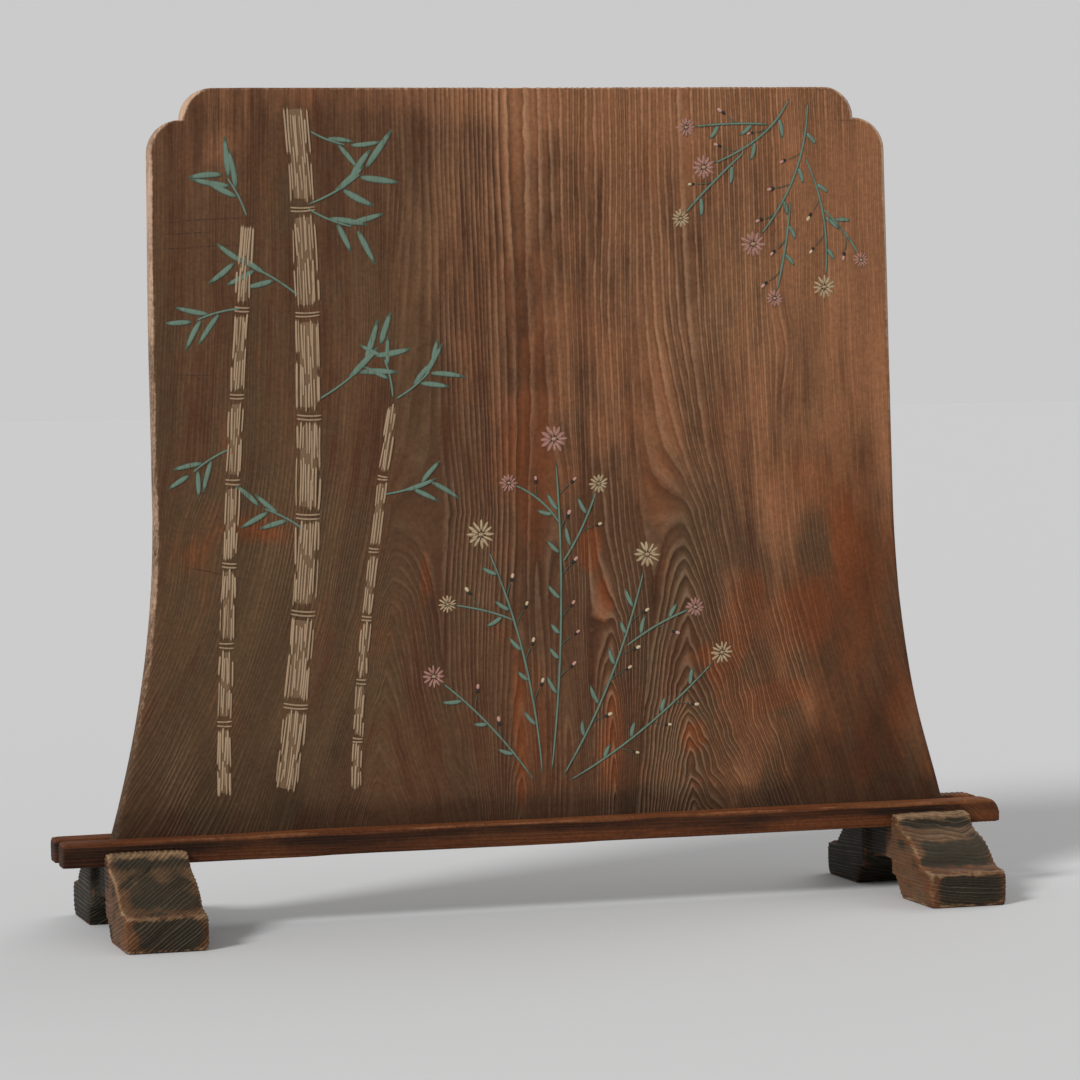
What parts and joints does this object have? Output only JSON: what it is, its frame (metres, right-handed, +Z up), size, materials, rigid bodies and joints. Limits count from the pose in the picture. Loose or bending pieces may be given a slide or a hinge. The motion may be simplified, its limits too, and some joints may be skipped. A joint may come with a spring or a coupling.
{
  "type": "freestanding wooden screen",
  "caption": "Freestanding one-panel screen: a wide flared cedar plank with cusped top corners, held between long rails in the slots of stepped, carved feet.",
  "frame": {"origin": "on the floor, midway between the feet and midway through the plank", "axes": "+X along the width, to the viewer's right when facing the decorated front; +Y from front to back; +Z up"},
  "size_m": [1.56, 0.51, 1.327],
  "materials": {
    "foot_wood": "brushed old cedar end grain, dark in the hollows, rubbed bare and orange on the edges",
    "rail_wood": "brushed old cedar, red brown, rubbed along the top edges",
    "plank_wood": "brushed old cedar, raised grain, grey-brown patina with red-brown patches, pale worn arrises",
    "cane_tan": "scored tan colour, matt",
    "leaf_green": "thin verdigris green colour, matt",
    "petal_cream": "chalky cream colour, matt",
    "petal_pink": "chalky dull pink colour, matt",
    "bud_dark": "blackish colour, matt"
  },
  "bodies": {
    "feet": {"left_foot": "foot_wood", "right_foot": "foot_wood"},
    "front_rail": {"front_rail": "rail_wood"},
    "rear_rail": {"rear_rail": "rail_wood"},
    "plank": {"plank": "plank_wood"}
  },
  "joints": [
    {"name": "front_rail_lift", "type": "slide", "parent": "feet", "child": "front_rail", "axis": [0, 0, 1], "range_m": [0, 0.04]},
    {"name": "rear_rail_lift", "type": "slide", "parent": "feet", "child": "rear_rail", "axis": [0, 0, 1], "range_m": [0, 0.04]},
    {"name": "plank_lift", "type": "slide", "parent": "feet", "child": "plank", "axis": [0, 0, 1], "range_m": [0, 0.06]}
  ]
}
